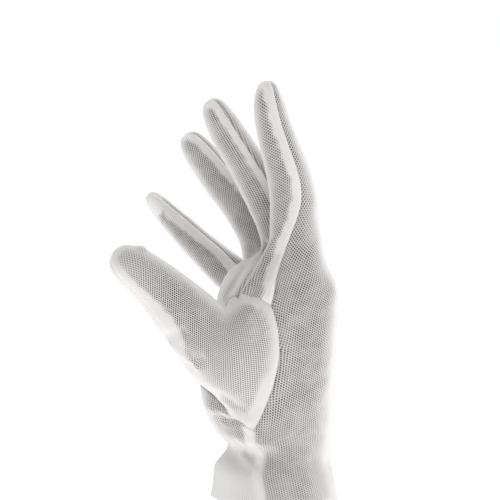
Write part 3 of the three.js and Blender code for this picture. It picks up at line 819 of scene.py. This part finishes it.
# %% Where the cloth is single, and where the holes' painted shade shows
SEEN_THROUGH = 0.09  # the holes' painted shade shows a little through the doubled cloth, but not near the fingertips
OFF_TIP, OFF_LITTLE_TIP = (3, 9), (10, 14)
LOOSE = [((20, 34), 0.25), ((5, 50), 0.75)]  # heights where the cloth stands loose off the wrist and the holes' painted shade fades, and the share left
THUMB_STRETCH = (8, 28, 42, 62), (0.6, 1.0, 1.0, 0.8)  # from the thumb's end, and the share there
HEM_FADE = 0.8
off_tips = np.interp(near_tip, OFF_TIP, (0, 1)) * np.interp(little_tip, OFF_LITTLE_TIP, (0, 1))


def set_floats(mesh, name, values):
    layer = mesh.attributes.new(name, "FLOAT", "POINT")
    layer.data.foreach_set("value", np.asarray(values, np.float32))


def single_cloth_and_shade(number):
    """1 where one layer of cloth shows its holes and their painted shade, 0 over a seam's doubled edges
    and at the hem.
    """
    single = np.clip(-cover[number] / BAND_EDGE, 0, 1)
    if number < len(LOOSE):
        heights, share = LOOSE[number]
        seen_through = SEEN_THROUGH * off_tips
        single = (seen_through + (1 - seen_through) * single) * np.interp(co[:, 2], heights, (share, 1))
    else:
        single = single * np.interp(thumb_end, *THUMB_STRETCH)
    return single * np.clip((co[:, 2] - HEM_TOP) / HEM_FADE, 0, 1)

# %% [markdown]
# The hem is the panels' own cloth turned up inside. Its lowest faces are copied, moved in by the cloth's
# thickness and a little air, turned over, and joined to the rest round the lower edge.

# %% Turn up the hem
CLOTH, HEM_DEPTH = 0.8 * MM, 1.9 * MM
HEM_FACES, HEM_EDGE, SIDE_EDGE = (HEM_TOP + 0.6) * MM, 4.5 * MM, 0.9


def turn_up_hem(cut):
    low = [face for face in cut.faces if max(v.co.z for v in face.verts) < HEM_FACES]
    if not low:
        return
    edge = {v for e in cut.edges if e.is_boundary and max(v.co.z for v in e.verts) < HEM_EDGE for v in e.verts
            if abs(v.normal.z) < SIDE_EDGE}
    made = bmesh.ops.duplicate(cut, geom=low)
    copy_of = {v: c for v, c in made["vert_map"].items() if isinstance(v, bmesh.types.BMVert)}
    copies = [f for f in made["geom"] if isinstance(f, bmesh.types.BMFace)]
    inner = {c for f in copies for c in f.verts}
    for v in inner:
        v.co -= v.normal * HEM_DEPTH
    bmesh.ops.reverse_faces(cut, faces=copies)
    for e in [e for e in cut.edges if e.is_boundary and set(e.verts) <= edge and not set(e.verts) & inner]:
        a, b = e.verts
        if a in copy_of and b in copy_of:
            loop = e.link_loops[0]
            first, second = (b, a) if loop.vert == a else (a, b)
            cut.faces.new((first, second, copy_of[second], copy_of[first]))

# %% Cut out each piece and thicken it
def cut_mesh(number, material):
    """The shell's part that belongs to one piece, as a sheet without thickness."""
    mesh = shell.copy()
    mesh.name = PIECES[number] + "_cloth"
    set_floats(mesh, "single_cloth_and_shade", single_cloth_and_shade(number))
    set_floats(mesh, "from_seam", from_any * off_tips)
    cut = bmesh.new()
    cut.from_mesh(mesh)
    others = [face for face in cut.faces if face.material_index != number]
    bmesh.ops.delete(cut, geom=others, context="FACES")
    turn_up_hem(cut)
    for face in cut.faces:
        face.material_index, face.smooth = 0, True
    cut.to_mesh(mesh)
    cut.free()
    mesh.materials.append(material)
    return mesh


def cut_piece(number, material):
    mesh = cut_mesh(number, material)
    obj = bpy.data.objects.new(mesh.name, mesh)
    bpy.context.scene.collection.objects.link(obj)
    wall = obj.modifiers.new("wall", "SOLIDIFY")
    wall.thickness, wall.offset = CLOTH, -1
    made = bpy.data.meshes.new_from_object(obj.evaluated_get(bpy.context.evaluated_depsgraph_get()))
    obj.modifiers.clear()
    obj.data = made
    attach(obj, "root")
    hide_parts(PIECES[number])
    print(obj.name, len(made.polygons), "faces")


for number, material in enumerate((panel_cotton, panel_cotton, thumb_cotton)):
    cut_piece(number, material)

# %% [markdown]
# ## Floor and light
# The photo is a plain studio picture on white. The floor is one large pale disc under the glove, which is
# held up by its wrist opening. Wide lamps at both sides and in front give the soft light, and one above and
# behind makes the fingertips' rims bright. The air gives some light too, and the camera sees it as plain
# white.

# %% Floor
FLOOR_DROP, FLOOR_SIZE, FLOOR_CORNERS, FLOOR_GLOW = 0.03, 6.0, 64, 0.72
disc = bpy.data.meshes.new("floor")
angles = np.linspace(0, 2 * math.pi, FLOOR_CORNERS, endpoint=False)
around = [(FLOOR_SIZE * math.cos(a), FLOOR_SIZE * math.sin(a), -FLOOR_DROP) for a in angles]
disc.from_pydata(around, [], [list(range(FLOOR_CORNERS))])
floor = bpy.data.objects.new("floor", disc)
bpy.context.scene.collection.objects.link(floor)
paint = bpy.data.materials.new("pale_floor")
paint.use_nodes = True
for socket, value in (("Base Color", (0.9, 0.9, 0.9, 1)), ("Roughness", 0.9),
                      ("Emission Color", (1, 1, 1, 1)), ("Emission Strength", FLOOR_GLOW)):
    paint.node_tree.nodes["Principled BSDF"].inputs[socket].default_value = value
disc.materials.append(paint)

# %% Lamps
LAMPS = [  # name, degrees round from the camera, height, distance, size and power
    ("left_lamp", -90, 0.35, 0.9, 0.9, 1.2), ("right_lamp", 100, 0.15, 0.9, 0.9, 4.6),
    ("front_lamp", 10, 0.5, 1.2, 0.8, 3.0), ("top_lamp", 200, 0.9, 0.35, 0.9, 6.0)]


def softbox(name, turn, height, distance, size, power):
    s, c = turned(turn)
    place = aim + (toward_camera * c + right_way * s) * distance + Vector((0, 0, height))
    lamp = bpy.data.lights.new(name, "AREA")
    lamp.shape, lamp.size, lamp.energy = "DISK", size, power
    obj = bpy.data.objects.new(name, lamp)
    obj.location = place
    obj.rotation_euler = (aim - place).to_track_quat("-Z", "Y").to_euler()
    bpy.context.scene.collection.objects.link(obj)


for lamp in LAMPS:
    softbox(*lamp)
print(len(LAMPS), "lamps")

# %% The air's own light
SEEN_LIGHT, GIVEN_LIGHT = 1.0, 0.36
world = bpy.data.worlds.new("studio")
world.use_nodes = True
bpy.context.scene.world = world
tree = world.node_tree
seen, lit, choose, path = add_nodes(tree, "ShaderNodeBackground", "ShaderNodeBackground",
                                    "ShaderNodeMixShader", "ShaderNodeLightPath")
for background, strength in ((seen, SEEN_LIGHT), (lit, GIVEN_LIGHT)):
    background.inputs["Color"].default_value = (1, 1, 1, 1)
    background.inputs["Strength"].default_value = strength
tree.links.new(path.outputs["Is Camera Ray"], choose.inputs["Fac"])
tree.links.new(lit.outputs["Background"], choose.inputs[1])
tree.links.new(seen.outputs["Background"], choose.inputs[2])
tree.links.new(choose.outputs["Shader"], tree.nodes["World Output"].inputs["Surface"])
bpy.context.scene.view_settings.view_transform = "Standard"
